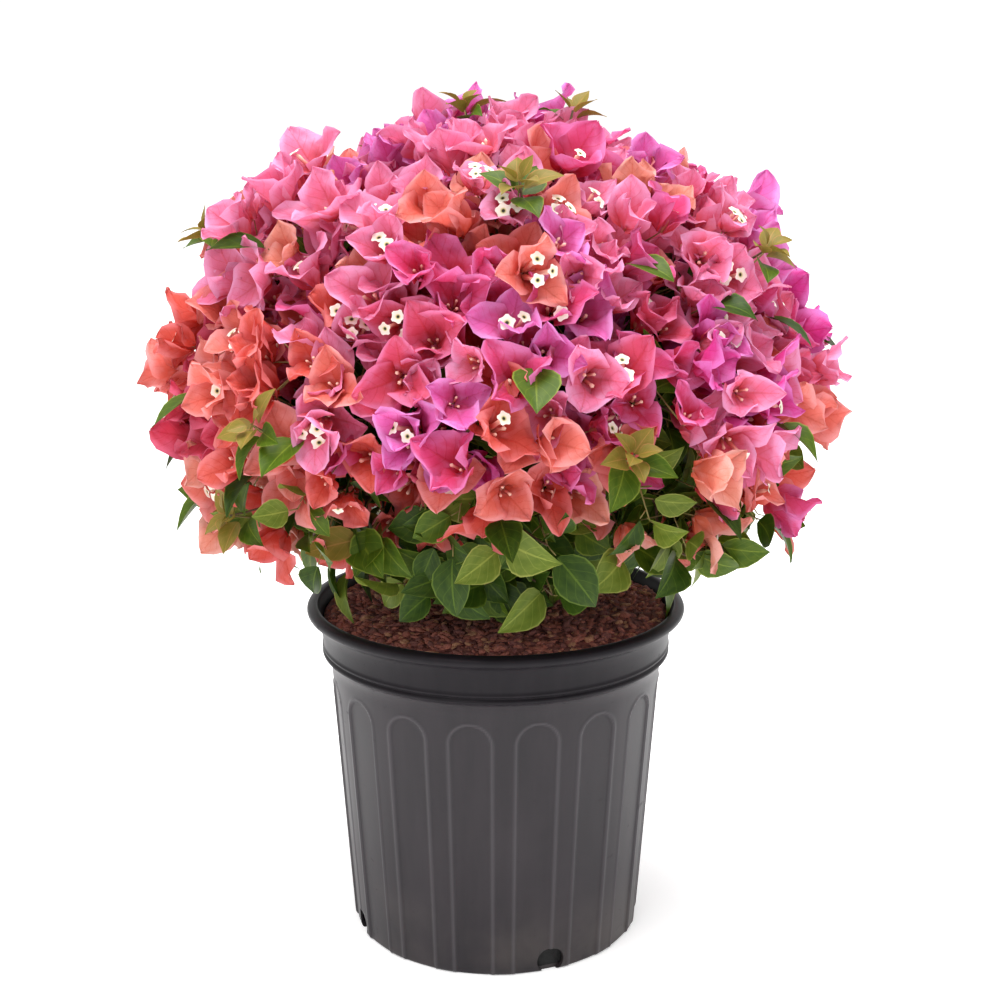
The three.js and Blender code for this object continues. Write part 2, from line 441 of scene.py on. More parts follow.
def finish_piece(name, mesh, material, replaced=()):
    """Puts a finished mesh in the scene as a piece of the plant."""
    piece = in_scene(name, mesh)
    mesh.materials.append(material)
    mesh.shade_smooth()
    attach(piece, "root")
    if replaced:
        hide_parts(*replaced)
    return piece


def raw_mesh(work, name):
    """A bmesh as a mesh."""
    mesh = bpy.data.meshes.new(name)
    work.to_mesh(mesh)
    work.free()
    return mesh


def mesh_of(work, name):
    """A bmesh as a mesh, its faces pointing outwards."""
    bmesh.ops.remove_doubles(work, verts=work.verts, dist=1e-6)
    bmesh.ops.recalc_face_normals(work, faces=work.faces)
    return raw_mesh(work, name)


class Shape:
    """A small surface to be dealt out many times: its points, its faces grouped by their number of
    corners, and where each point falls on its pattern."""

    def __init__(self, points, faces, pattern):
        self.points = points
        self.faces = faces
        self.pattern = pattern

    def moved(self, points):
        return Shape(points, self.faces, self.pattern)

    def placed(self, turn, place):
        return self.moved(self.points @ turn.T + place)


def shape_of(work, pattern_of):
    work.verts.index_update()
    points = np.array([vertex.co[:] for vertex in work.verts])
    sizes = sorted({len(face.verts) for face in work.faces})
    faces = [
        np.array([[vertex.index for vertex in face.verts] for face in work.faces if len(face.verts) == size])
        for size in sizes
    ]
    work.free()
    return Shape(points, faces, pattern_of(points))


def together(shapes):
    """Several shapes as one."""
    points = np.concatenate([shape.points for shape in shapes])
    pattern = np.concatenate([shape.pattern for shape in shapes])
    faces = []
    first = 0
    for shape in shapes:
        faces += [group + first for group in shape.faces]
        first += len(shape.points)
    return Shape(points, faces, pattern)


class Heap:
    """Many placed shapes that end as one joined mesh."""

    def __init__(self):
        self.shapes = []

    def add(self, shape, turn, place):
        self.shapes.append(shape.placed(turn, place))

    def make(self, name, material, slot, replaced=()):
        whole = together(self.shapes)
        mesh = bpy.data.meshes.new(name)
        corners = np.concatenate([group.ravel() for group in whole.faces])
        faces = [face for group in whole.faces for face in group.tolist()]
        mesh.from_pydata(whole.points.tolist(), [], faces)
        pattern = mesh.uv_layers.new(name=PATTERN)
        pattern.data.foreach_set("uv", whole.pattern[corners].astype(np.float32).ravel())
        finish_piece(name, mesh, material, replaced)


def sheet(across, along):
    """A flat sheet of four-sided faces, from -1 to 1 across in X and from 0 to 1 along in Y."""
    work = bmesh.new()
    bmesh.ops.create_grid(work, x_segments=across, y_segments=along, size=1)
    blank = shape_of(work, lambda points: (points[:, :2] + 1) / 2)
    blank.points[:, 1] = blank.pattern[:, 1]
    return blank


def round_and_up(points, top):
    """A pattern that runs round Z and up to a top."""
    turn = np.arctan2(points[:, 1], points[:, 0]) / (2 * math.pi) + 0.5
    return np.stack([turn, points[:, 2] / top], axis=1)


def rod(sides, rings):
    """A closed straight rod of radius 1 from Z 0 to 1."""
    work = bmesh.new()
    bmesh.ops.create_cone(
        work, cap_ends=True, cap_tris=False, segments=sides, radius1=1, radius2=1, depth=1,
        matrix=Matrix.Translation((0, 0, 0.5)),
    )
    uprights = [edge for edge in work.edges if abs(edge.verts[0].co.z - edge.verts[1].co.z) > 0.5]
    bmesh.ops.subdivide_edges(work, edges=uprights, cuts=rings - 1)
    return shape_of(work, lambda points: round_and_up(points, 1))


def turned(profile, steps, seam=(1, 0)):
    """A closed body turned about Z, as a bmesh, from a profile of (radius, height) in millimetres that starts
    and ends on the axis. Its seam lies in a direction given by X and Y."""
    work = bmesh.new()
    x, y = seam
    line = [work.verts.new((x * radius * MM, y * radius * MM, height * MM)) for radius, height in profile]
    edges = [work.edges.new(pair) for pair in zip(line, line[1:])]
    bmesh.ops.spin(
        work, geom=line + edges, cent=(0, 0, 0), axis=(0, 0, 1), dvec=(0, 0, 0), angle=2 * math.pi,
        steps=steps, use_merge=True, use_duplicate=False,
    )
    bmesh.ops.remove_doubles(work, verts=work.verts, dist=1e-6)
    return work


def bent(blank, start, bend, end, thick, thin):
    """A rod laid along a bow from start over bend to end, and tapering."""
    share = blank.points[:, 2:3]
    start, bend, end = np.array(start), np.array(bend), np.array(end)
    middle = (1 - share) ** 2 * start + 2 * share * (1 - share) * bend + share**2 * end
    heading = 2 * (1 - share) * (bend - start) + 2 * share * (end - bend)
    heading /= np.linalg.norm(heading, axis=1, keepdims=True) + 1e-9
    plane = np.cross(bend - start, end - start)
    if np.linalg.norm(plane) < 1e-9:
        plane = np.cross(end - start, (0.31, 0.87, 0.38))
    plane /= np.linalg.norm(plane) + 1e-12
    aside = np.cross(heading, plane)
    radius = thick + (thin - thick) * share
    points = middle + radius * (blank.points[:, 0:1] * plane + blank.points[:, 1:2] * -aside)
    return blank.moved(points)


# ---- Bracts, leaves and flowers ----

bract_blank = sheet(6, 8)
leaf_blank = sheet(4, 7)
star_blank = sheet(5, 5)
twig_rod = rod(4, 4)
stalk_rod = rod(3, 2)


def along_and_across(blank, foot, widest):
    """Where each point of a blank lies on a pointed blade: its share of the length, its side from -1 to 1,
    and the half width there as a share of the greatest."""
    side = blank.points[:, 0]
    share = blank.points[:, 1]
    share = 0.5 * share + 0.5 * smooth_step(0, 1, share)
    share = 0.012 + 0.98 * share
    rise = foot
    fall = foot * (1 - widest) / widest
    peak = widest**rise * (1 - widest) ** fall
    return share, side, share**rise * (1 - share) ** fall / peak


BOW_STEPS = 40  # short straight steps that a bract's or a leaf's bow is added up from
TIGHTEST_CURL = 2.4  # the furthest that a bract curls round on either side, in radians


def bract(opening, dice):
    """One bract standing by its flower, at the origin: it rises along Z and flares out along Y."""
    length = BRACT_LENGTH * MM * dice.uniform(0.84, 1.14)
    width = BRACT_WIDTH * MM * dice.uniform(0.86, 1.14)
    share, side, half = along_and_across(bract_blank, 0.6, dice.uniform(0.35, 0.43))
    half = half * width / 2
    steps = np.linspace(0, 1, BOW_STEPS + 1)
    flare = dice.uniform(0.5, 0.75)
    recurve = dice.uniform(-0.5, 0.9)
    lean = opening * (flare + (1 - flare) * steps) + recurve * steps**3
    out = np.concatenate([[0], np.cumsum(np.sin(lean[:-1]))]) * length / BOW_STEPS
    rise = np.concatenate([[0], np.cumsum(np.cos(lean[:-1]))]) * length / BOW_STEPS
    out = np.interp(share, steps, out)
    rise = np.interp(share, steps, rise)
    lean = np.interp(share, steps, lean)
    trough = (dice.uniform(9, 13) + dice.uniform(10, 44) * share) * MM
    turn = np.clip(side * half / trough, -TIGHTEST_CURL, TIGHTEST_CURL)
    across = trough * np.sin(turn)
    lift = trough * (1 - np.cos(turn))
    wave = dice.uniform(3.5, 8.5) * MM
    for hand in (-1, 1):
        phase = dice.uniform(0, 2 * math.pi)
        pace = dice.uniform(7, 12)
        onside = np.clip(side * hand, 0, 1)
        lift += wave * onside**1.8 * np.sin(pace * share + phase) * np.sqrt(share) * (1 - share**6)
    keel = dice.uniform(0.4, 1.3) * MM
    lift -= keel * np.exp(-((side / 0.18) ** 2)) * np.sin(math.pi * share)
    crumple = dice.uniform(0.6, 1.8) * MM
    lift += crumple * np.sin(9 * share + 5 * side + dice.uniform(0, 6))
    twist = dice.uniform(-0.6, 0.6) * share
    across, lift = (
        across * np.cos(twist) - lift * np.sin(twist),
        lift * np.cos(twist) + across * np.sin(twist),
    )
    ahead = BRACT_FOOT * MM + out - lift * np.cos(lean)
    points = np.stack([across, ahead, rise + lift * np.sin(lean)], axis=1)
    return bract_blank.moved(points)


def spun_about_z(shape, turn):
    c, s = math.cos(turn), math.sin(turn)
    return shape.moved(shape.points @ np.array([[c, s, 0], [-s, c, 0], [0, 0, 1]]))


def bract_cup(opening, dice):
    """Three bracts round three flowers."""
    cup = []
    for third in range(3):
        blade = bract(opening * dice.uniform(0.62, 1.38), dice)
        cup.append(spun_about_z(blade, (third + dice.uniform(-0.14, 0.14)) * 2 * math.pi / 3))
    return together(cup)


def leaf(fold, droop, dice):
    """One leaf lying along Y with its face up Z, its stalk's end at the origin."""
    length = LEAF_LENGTH * MM * dice.uniform(0.86, 1.14)
    width = LEAF_WIDTH * MM * dice.uniform(0.88, 1.12)
    share, side, half = along_and_across(leaf_blank, 0.72, dice.uniform(0.34, 0.4))
    half = half * width / 2
    steps = np.linspace(0, 1, BOW_STEPS + 1)
    lean = droop * (steps - 0.25)
    ahead = np.interp(share, steps, np.cumsum(np.cos(lean)) * length / len(steps))
    down = np.interp(share, steps, np.cumsum(np.sin(lean)) * length / len(steps))
    lift = np.abs(side) * half * math.sin(fold)
    ripple = dice.uniform(0.4, 1.4) * MM
    lift += ripple * side * np.sin(dice.uniform(5, 8) * share + dice.uniform(0, 6))
    across = side * half * math.cos(fold)
    across += dice.uniform(-2.5, 2.5) * MM * share**2
    points = np.stack([across, ahead, lift - down], axis=1)
    return leaf_blank.moved(points)


def star(dice):
    """A five-lobed flower, face up Z."""
    x, y = star_blank.points[:, 0], star_blank.points[:, 1] * 2 - 1
    ring = np.maximum(np.abs(x), np.abs(y))
    flat = np.abs(x) >= np.abs(y)
    part = np.where(flat, y / np.where(flat, x, 1), x / np.where(flat, 1, y))
    turn = np.where(flat, part * math.pi / 4, math.pi / 2 - part * math.pi / 4)
    turn = np.where(flat & (x < 0), turn + math.pi, turn)
    turn = np.where(~flat & (y < 0), turn + math.pi, turn)
    lobe = 1 - 0.28 * (0.5 - 0.5 * np.cos(5 * turn)) ** 2.2 * ring**2
    reach = ring**0.85 * lobe * STAR_WIDTH / 2 * MM
    dish = (-1.5 * (ring - 1) ** 2 - 0.3 * ring**3 * (1 + np.cos(5 * turn)) * dice.uniform(0.4, 1.4)) * MM
    points = np.stack([reach * np.cos(turn), reach * np.sin(turn), dish], axis=1)
    pattern = np.stack([reach * np.cos(turn), reach * np.sin(turn)], axis=1) / (STAR_WIDTH * MM) + 0.5
    return Shape(points, star_blank.faces, pattern)


def tube(bud):
    """The flower's waisted tube, closed at its tip, where a bud swells."""
    profile = [
        (0, 0),
        (0.9, 0.04 * TUBE_LENGTH),
        (1.25, 0.25 * TUBE_LENGTH),
        (0.8, 0.62 * TUBE_LENGTH),
        (1.35 if bud else 1.0, 0.86 * TUBE_LENGTH),
        (0, TUBE_LENGTH),
    ]
    work = turned(profile, 5)
    bmesh.ops.recalc_face_normals(work, faces=work.faces)
    return shape_of(work, lambda points: round_and_up(points, TUBE_LENGTH * MM))


closed_tube = tube(bud=True)
open_tube = tube(bud=False)

dice = random.Random(5)
cups = [bract_cup(math.radians(dice.uniform(24, 38)), dice) for _ in range(5)]
cups += [bract_cup(math.radians(dice.uniform(38, 66)), dice) for _ in range(19)]
leaves = [leaf(math.radians(dice.uniform(4, 30)), dice.uniform(0.1, 1.1), dice) for _ in range(10)]
stars = [star(dice) for _ in range(4)]


# ---- Colours of the bracts and leaves, dealt out by spray ----

SHADES = {
    # name: (heart, face, rim)
    "magenta": (paint(186, 34, 80), paint(208, 58, 142), paint(226, 136, 210)),
    "orchid": (paint(198, 56, 100), paint(216, 96, 172), paint(230, 160, 224)),
    "hot_pink": (paint(200, 42, 54), paint(214, 72, 126), paint(230, 142, 202)),
    "rose_pink": (paint(202, 52, 50), paint(220, 84, 118), paint(232, 142, 188)),
    "candy_pink": (paint(214, 76, 82), paint(230, 120, 160), paint(240, 176, 218)),
    "deep_rose": (paint(168, 26, 34), paint(194, 52, 76), paint(220, 106, 138)),
    "coral": (paint(198, 54, 38), paint(218, 92, 80), paint(234, 142, 146)),
    "salmon": (paint(204, 76, 54), paint(226, 118, 106), paint(240, 166, 168)),
    "peach": (paint(206, 94, 64), paint(226, 140, 122), paint(240, 182, 174)),
}
WARM = ["deep_rose", "coral", "coral", "coral", "salmon", "salmon", "salmon", "peach"]
MIDDLING = ["rose_pink", "rose_pink", "rose_pink", "hot_pink", "hot_pink", "candy_pink", "coral"]
COOL = ["magenta", "magenta", "orchid", "hot_pink", "hot_pink", "hot_pink", "rose_pink"]
# Pale tints for the top of the crown, as painted light from above.
TOP_LIT_TINTS = ["candy_pink", "candy_pink", "candy_pink", "candy_pink", "peach", "salmon", "hot_pink", "orchid"]
# Deep tints for the innermost cups, as painted shade deep in the crown.
INNER_SHADE_TINTS = ["deep_rose", "deep_rose", "coral", "magenta"]

bract_heaps = {name: Heap() for name in SHADES}
leaf_heaps = {name: Heap() for name in ("leaves_deep", "leaves_mid", "leaves_fresh", "leaves_bronze")}
star_heap = Heap()
tube_heap = Heap()
twig_heap = Heap()
stalk_heap = Heap()


# In metres: from where the flowers are painted paler upwards, as painted light from above, and grow warmer
# leftwards, and over what distance.
TOP_LIT_FROM, TOP_LIT_OVER = 0.445, 0.075
LEFT_FROM, LEFT_OVER = -0.05, 0.09
RIGHT_OVER = 0.16  # over what distance from the middle they grow cooler rightwards
INNER_SHADE_UNDER = 0.5  # the height under which the innermost cups are painted deep in colour, as painted shade deep in the crown


def shade_for(place):
    """A spray's colour. The left flank and the fringe are warm, the very top is painted pale as painted light
    from above, and the middle and the right are cool."""
    # Painted light: the higher a spray, the likelier its tint is a pale one, for the light from above.
    if tint_chance.random() < (place.z - TOP_LIT_FROM) / TOP_LIT_OVER:
        return tint_chance.choice(TOP_LIT_TINTS)
    patch = noise.noise(place * 10 + Vector((3.1, 0.4, 7.7)))
    above = place.z - fringe_height(place)
    low = max(0, 1.6 - above / by_side(place, WARM_AT_FRONT, WARM_AT_SIDES))
    left = max(0, (LEFT_FROM - place.x) / LEFT_OVER)
    right = max(0, place.x / RIGHT_OVER) * max(0, 1 - low)
    warmth = 1.0 * low + 0.8 * left - 0.35 * right + 0.7 * patch + tint_chance.gauss(0, 0.3)
    if warmth > 0.7:
        return tint_chance.choice(WARM)
    if warmth > 0.1:
        return tint_chance.choice(MIDDLING)
    return tint_chance.choice(COOL)


# ---- The crown ----

MASS_KINDS = ("crown_top", "upper_mass", "middle_mass", "lower_mass", "leaf_skirt")
mass_names = sorted(name for name in nodes if name.startswith(MASS_KINDS))
bough_order = ["crown_top"]
bough_order += [f"upper_mass_{number}" for number in range(1, 6)]
bough_order += [f"middle_mass_{number}" for number in range(1, 9)]
bough_names = ["bough_to_" + mass for mass in bough_order]
HEART = Vector((0, 0, 0.395))
BEYOND = 0.7  # from the heart to well outside the crown, in metres


def is_skirt(mass):
    return mass.startswith("leaf_skirt")


def middle_of(name):
    low, high = (Vector(corner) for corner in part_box(name))
    return (low + high) / 2


def crown_skin():
    """The masses' surfaces together, and which mass each face is of."""
    points, faces, owners = [], [], []
    for name in mass_names:
        mesh = nodes[name].data
        first = len(points)
        points += [vertex.co.copy() for vertex in mesh.vertices]
        faces += [[first + corner for corner in face.vertices] for face in mesh.polygons]
        owners += [name] * len(mesh.polygons)
    return BVHTree.FromPolygons(points, faces), owners


skin, skin_owners = crown_skin()


def skin_at(direction):
    """Where a line from far away to the crown's heart first meets a mass."""
    place, normal, face, _ = skin.ray_cast(HEART + direction * BEYOND, -direction)
    if place is None:
        return None
    return place, normal, skin_owners[face]


def reach_at(direction):
    """How far the crown reaches along a direction, with the clefts between its masses half filled, and the
    skin's normal and its mass there."""
    met = skin_at(direction)
    if met is None:
        return None
    place, normal, owner = met
    around = [skin_at(stray(direction, degrees=9)) for _ in range(5)]
    reach = (place - HEART).length
    widest = max([(near[0] - HEART).length for near in around if near] or [reach])
    return max(reach, 0.5 * reach + 0.5 * widest), normal, owner


def spread_directions(count, astray):
    """Directions evenly spread over the whole sphere, each up to so many degrees astray."""
    for i in range(count):
        z = 1 - (2 * i + 1) / count
        flat = math.sqrt(1 - z * z)
        turn = GOLDEN_TURN * i
        yield stray(Vector((flat * math.cos(turn), flat * math.sin(turn), z)), astray)


def reaches(directions):
    """Each direction along which the crown is met, with what reach_at says of it."""
    for direction in directions:
        met = reach_at(direction)
        if met is not None:
            yield direction, *met


def by_side(place, at_front, at_sides):
    """A measure in metres that goes from one value at the front and back to another at the sides."""
    level = math.hypot(place.x, place.y)
    fore = (place.y / level) ** 2 if level else 0
    return (at_sides + (at_front - at_sides) * fore) * MM


def fringe_height(place):
    """How low the flowers hang: lower at the sides than at the front and back."""
    return by_side(place, FRINGE_AT_FRONT, FRINGE_AT_SIDES) + 8 * noise.noise(place * 14) * MM


def loose_height(place):
    """For how far above the fringe the flowers hang loosely."""
    return by_side(place, LOOSE_AT_FRONT, LOOSE_AT_SIDES)


class Spray:
    """What one twig bears. kind is "bloom", "green" or "young"."""

    def __init__(self, kind, tip, facing, owner):
        self.kind = kind
        self.tip = tip
        self.facing = facing
        self.owner = owner
        self.cups = []
        self.shade = shade_for(tip)


def near_any(place, others, distance):
    return any((place - other).length < distance for other in others)


def find_young_sprays():
    """The young shoots that stand clear of the flowers, and the middles of the clearings round them."""
    found = []
    clearings = []
    for direction, reach, _, owner in reaches([stray(UP, 12), *spread_directions(YOUNG_SHOOTS, 14)]):
        tip = HEART + direction * (reach - YOUNG_DEPTH * MM)
        if tip.z < fringe_height(tip) + YOUNG_ABOVE_FRINGE * MM or is_skirt(owner):
            continue
        found.append(Spray("young", tip, (direction + UP * 0.5).normalized(), owner))
        clearings.append(HEART + direction * (reach - CLEARING_DEPTH * MM))
    return found, clearings


def find_blooming_sprays():
    """The flowering twigs, as yet without their cups."""
    found = []
    for direction, reach, normal, owner in reaches(spread_directions(SPRAYS, 5)):
        tip = HEART + direction * (reach - BLOOM_DEPTH * MM)
        edge = HEART + direction * reach
        facing = (direction * 0.8 + normal * 0.25 + UP * 0.1).normalized()
        if edge.z > fringe_height(edge) and not is_skirt(owner):
            found.append(Spray("bloom", tip, facing, owner))
    return found


def deal_out_cups(blooming, clearings):
    """Gives each cup of bracts, layer by layer, to the flowering twig whose end is nearest."""
    for count, tuck, layer in CUP_LAYERS:
        astray = 360 / math.sqrt(count) * 0.16
        for direction, reach, normal, _ in reaches(spread_directions(count, astray)):
            depth = tuck + chance.uniform(-CUP_SCATTER, CUP_SCATTER)
            place = HEART + direction * (reach - depth * MM)
            above = place.z - fringe_height(place)
            droop = DOWN * 0.35 if above < DROOPING_HEIGHT * MM else UP * 0.12
            axis = stray(direction * 0.85 + normal * 0.2 + droop, degrees=44)
            loose = loose_height(place)
            thinned = chance.random() > 0.34 + 0.66 * above / loose
            if above < 0 or near_any(place, clearings, CLEARING_RADIUS * MM):
                continue
            if above < loose and (layer or thinned):
                continue
            spray = min(blooming, key=lambda other: (other.tip - place).length)
            spray.cups.append((place, axis, layer))


def find_green_sprays():
    """The leafy skirt under the flowers, down to just above the pot's lip."""
    found = []
    for direction in spread_directions(GREEN_SPRAYS, 4):
        met = skin_at(direction)
        if met is None or direction.z > HIGHEST_SKIRT_RISE:
            continue
        place, _, owner = met
        depth = chance.uniform(*SKIRT_DEPTHS) * MM
        tip = place - direction * depth
        if tip.z > fringe_height(place) + SKIRT_OVERLAP * MM or tip.z < SKIRT_FOOT * MM:
            continue
        widening = 1 if tip.z < SKIRT_WAIST * MM else 1.3
        if math.hypot(tip.x, tip.y) > SKIRT_REACH * MM * widening:
            continue
        level = Vector((direction.x, direction.y, 0)).normalized()
        found.append(Spray("green", tip, (level + UP * 0.15).normalized(), owner))
    return found


def find_sprays():
    """The sprays of the whole crown, with the places of their cups of bracts."""
    young, clearings = find_young_sprays()
    blooming = find_blooming_sprays()
    deal_out_cups(blooming, clearings)
    return young + [spray for spray in blooming if spray.cups] + find_green_sprays()


def bowls_of(sprays):
    """The middles of all cups' bowls, to be searched for the nearest."""
    middles = [place + axis * BOWL_MIDDLE * MM for spray in sprays for place, axis, _ in spray.cups]
    tree = KDTree(len(middles))
    for number, middle in enumerate(middles):
        tree.insert(middle, number)
    tree.balance()
    return tree


sprays = find_sprays()
bowls = bowls_of(sprays)


def stalk(start, end, thick=0.55):
    """A stalk that bows a little. Its thickness is its radius, in millimetres."""
    bend = (start + end) / 2 + stray(end - start, 60) * (end - start).length * 0.08
    return bent(stalk_rod, start, bend, end, thick * MM, thick * 0.8 * MM)


def add_stem(start, bend, end):
    """The green stem that a shoot's leaves stand on."""
    stalk_heap.shapes.append(bent(stalk_rod, start, bend, end, 0.9 * MM, 0.6 * MM))


def add_leaf(place, along, facing, kind, size, on=None):
    """One leaf on its stalk, both left out where the leaf's middle or outer part would lie in a cup's bowl."""
    turn, spot = stand(place, along, facing, size)
    blade = chance.choice(leaves)
    reach = along.normalized() * LEAF_LENGTH * MM * size
    if any(bowls.find(place + reach * share)[2] < BOWL_RADIUS * MM for share in (0.5, 0.85)):
        return
    leaf_heaps[kind].add(blade, turn, spot)
    if on:
        stalk_heap.shapes.append(on)


def leafy_shoot(tip, heading, facing, kinds, count, size, gap):
    """So many leaves set in a spiral back along a stem that ends at the tip. Gives the stem's back end."""
    turn = chance.uniform(0, 2 * math.pi)
    back = tip - heading * ((count - 1) * gap * MM)
    add_stem(back, back.lerp(tip, 0.5), tip)
    for i in range(count):
        turn += LEAF_TURN + chance.uniform(-0.3, 0.3)
        aside = square_to(heading, turn)
        node = tip - heading * (i * gap * MM)
        spread = min(0.9, 0.62 + 0.08 * i)
        along = (heading * (1 - spread) + aside * spread + facing * 0.2).normalized()
        foot = node + along * chance.uniform(5, 9) * MM * size
        on = stalk(node, foot)
        face = (facing + heading * 0.4 + UP * 0.3).normalized()
        face = stray(face, degrees=30)
        add_leaf(foot, along, face, chance.choice(kinds), size * chance.uniform(0.8, 1.1), on)
    return back


def flowers_in_cup(place, axis, roll, size, open_stars):
    """Three tubes in a cup. Some end in an open star."""
    for third in range(3):
        aside = square_to(axis, roll + (third + 0.08) * 2 * math.pi / 3)
        lean = (axis + aside * chance.uniform(0.16, 0.34)).normalized()
        foot = place + aside * 1.4 * MM
        is_open = third < open_stars
        tall = size * (1.6 if is_open else chance.uniform(0.75, 1.1))
        spin, spot = stand_up(foot, lean, chance.uniform(0, 6), tall)
        tube_heap.add(open_tube if is_open else closed_tube, spin, spot)
        if is_open:
            top = foot + lean * TUBE_LENGTH * MM * tall * 1.08
            spin, spot = stand_up(top, stray(lean, 14), chance.uniform(0, 6), chance.uniform(0.9, 1.15))
            star_heap.add(chance.choice(stars), spin, spot)


def blossom(place, axis, shade, size, open_stars):
    """A cup of bracts with its flowers."""
    roll = chance.uniform(0, 2 * math.pi)
    spin, spot = stand_up(place, axis, roll, size)
    bract_heaps[shade].add(chance.choice(cups), spin, spot)
    flowers_in_cup(place, axis, roll, size, open_stars)


def stars_at(place, layer):
    """How many open stars a cup bears. They come in drifts, on the outermost cups alone."""
    if layer:
        return 0
    drift = noise.noise(place * STAR_DRIFT + Vector((5.2, 1.9, 0.6)))
    if chance.random() < 0.22 + 0.7 * max(0, drift):
        return chance.choice((1, 2, 3, 3))
    return 0


def bear_blooms(spray, heading):
    """Cups of bracts on stalks round a twig's end, with leaves behind them."""
    for place, axis, layer in spray.cups:
        stalk_heap.shapes.append(stalk(spray.tip, place, thick=0.6))
        shade = spray.shade if tint_chance.random() < 0.7 else shade_for(place)
        # Painted shade: the innermost cups lower down take deep tints.
        if layer == 2 and place.z < INNER_SHADE_UNDER:
            shade = tint_chance.choice(INNER_SHADE_TINTS)
        size = chance.uniform(0.78, 1.12) if layer < 2 else 0.9
        blossom(place, axis, shade, size, stars_at(place, layer))
    kinds = ("leaves_deep", "leaves_deep", "leaves_mid")
    outer = spray.tip - heading * OUTER_LEAVES_BACK * MM
    leafy_shoot(outer, heading, spray.facing, kinds, count=8, size=0.9, gap=10)
    add_stem(outer, outer.lerp(spray.tip, 0.5), spray.tip)
    if spray.tip.z < fringe_height(spray.tip) + loose_height(spray.tip):
        hang = (spray.facing * 0.6 + DOWN * 0.8).normalized()
        kinds = ("leaves_deep", "leaves_mid", "leaves_mid", "leaves_fresh")
        end = spray.tip + (spray.facing * 10 - UP * 22) * MM
        back = leafy_shoot(end, hang, spray.facing, kinds, count=6, size=0.85, gap=8)
        add_stem(spray.tip, spray.tip.lerp(back, 0.5), back)


def bear_leaves(spray, heading):
    """A hanging shoot of the skirt. Here and there a patch of shoots is young, and paler and bronzed."""
    hang = (heading * 0.35 + DOWN * 0.8 + spray.facing * 0.5).normalized()
    kinds = ("leaves_deep", "leaves_deep", "leaves_deep", "leaves_mid", "leaves_fresh")
    if noise.noise(spray.tip * 30) > 0.28:
        kinds = ("leaves_bronze", "leaves_fresh", "leaves_fresh", "leaves_mid", "leaves_mid")
    count = chance.choice((4, 5, 6))
    leafy_shoot(spray.tip, hang, spray.facing, kinds, count, size=1.0, gap=8)


def bear_young_leaves(spray, heading):
    """A rosette of small bronze leaves on a shoot that stands clear of the flowers."""
    axis = (heading * 0.3 + spray.facing).normalized()
    for i in range(9):
        rise = 1.1 - 0.12 * i
        along = (axis * rise + square_to(axis, LEAF_TURN * i)).normalized()
        foot = spray.tip - axis * i * 1.6 * MM + along * 3 * MM
        kind = "leaves_bronze" if i < 6 else "leaves_mid"
        face = stray(axis + UP * 0.2, degrees=30)
        add_leaf(foot, along, face, kind, chance.uniform(0.32, 0.42) + 0.05 * i)
    stalk_heap.shapes.append(stalk(spray.tip - axis * 40 * MM, spray.tip, thick=0.8))


BEARING = {"bloom": bear_blooms, "green": bear_leaves, "young": bear_young_leaves}


# ---- Limbs ----


def trunk_line():
    low, high = (Vector(corner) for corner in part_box("trunk"))
    return Vector((0, 0, low.z)), Vector((5 * MM, 0, high.z))


trunk_foot, trunk_head = trunk_line()


NARROWEST = 12  # millimetres under which a bough's box doesn't tell which way it leans


def bough_line(name, number):
    """A bough's bow, from near the trunk's head to where it enters its mass."""
    low, high = (Vector(corner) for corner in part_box(name))
    middle = (low + high) / 2
    end = Vector(high)
    if middle.x < trunk_head.x:
        end.x = low.x
    if middle.y < 0:
        end.y = low.y
    if high.x - low.x < NARROWEST * MM:
        end.x = middle.x
    if high.y - low.y < NARROWEST * MM:
        end.y = middle.y
    end.z -= 2 * MM
    start = trunk_head - UP * (6 + 8 * (number % 3)) * MM
    bend = start.lerp(end, 0.45) + UP * 0.1 * (end - start).length
    return start, bend, end


bough_lines = {name: bough_line(name, number) for number, name in enumerate(bough_names)}


def limb_start(mass):
    """Where the branching in a mass begins, and its heading: its own bough's end, or a point on the nearest
    bough. The skirt's branching begins at the trunk."""
    own = "bough_to_" + mass
    if own in bough_lines:
        start, bend, end = bough_lines[own]
        return end, (end - bend).normalized()
    centre = middle_of(mass)
    if is_skirt(mass):
        start = trunk_head - UP * 12 * MM
        return start, (centre - start).normalized()
    best = None
    for start, bend, end in bough_lines.values():
        for share in (0.35, 0.6, 0.9):
            point = start.lerp(bend, share).lerp(bend.lerp(end, share), share)
            if best is None or (point - centre).length < (best - centre).length:
                best = point
    return best, (centre - best).normalized()


def grow(start, heading, sprays, thick):
    """The branching rule: a branch heads for the middle of its sprays, and on the way it forks into two, each
    with the half of the sprays on its side, until each twig bears one spray."""
    if len(sprays) == 1:
        spray = sprays[0]
        length = (spray.tip - start).length
        bend = start + heading * 0.35 * length + (spray.tip - spray.facing * 0.35 * length - start) * 0.35
        twig_heap.shapes.append(bent(twig_rod, start, bend, spray.tip, thick * MM, 0.8 * MM))
        last_stretch = (spray.tip - bend).normalized()
        # However a twig ends, what it bears lies on the outward side of it.
        BEARING[spray.kind](spray, (last_stretch + spray.facing * 1.5).normalized())
        return
    centre = sum((spray.tip for spray in sprays), Vector()) / len(sprays)
    fork = start.lerp(centre, chance.uniform(0.3, 0.48))
    fork += stray(heading, 40) * (centre - start).length * 0.07
    bend = start.lerp(fork, 0.5) + heading * (fork - start).length * 0.12
    thinner = max(0.9, thick * 0.78)
    twig_heap.shapes.append(bent(twig_rod, start, bend, fork, thick * MM, thinner * MM))
    spread = np.array([spray.tip[:] for spray in sprays])
    longest = np.linalg.svd(spread - spread.mean(axis=0))[2][0]
    order = sorted(range(len(sprays)), key=lambda i: float(spread[i] @ longest))
    half = len(sprays) // 2
    for part in (order[:half], order[half:]):
        chosen = [sprays[i] for i in part]
        middle = sum((spray.tip for spray in chosen), Vector()) / len(chosen)
        onward = ((middle - fork).normalized() + heading * 0.5).normalized()
        grow(fork, onward, chosen, thinner)


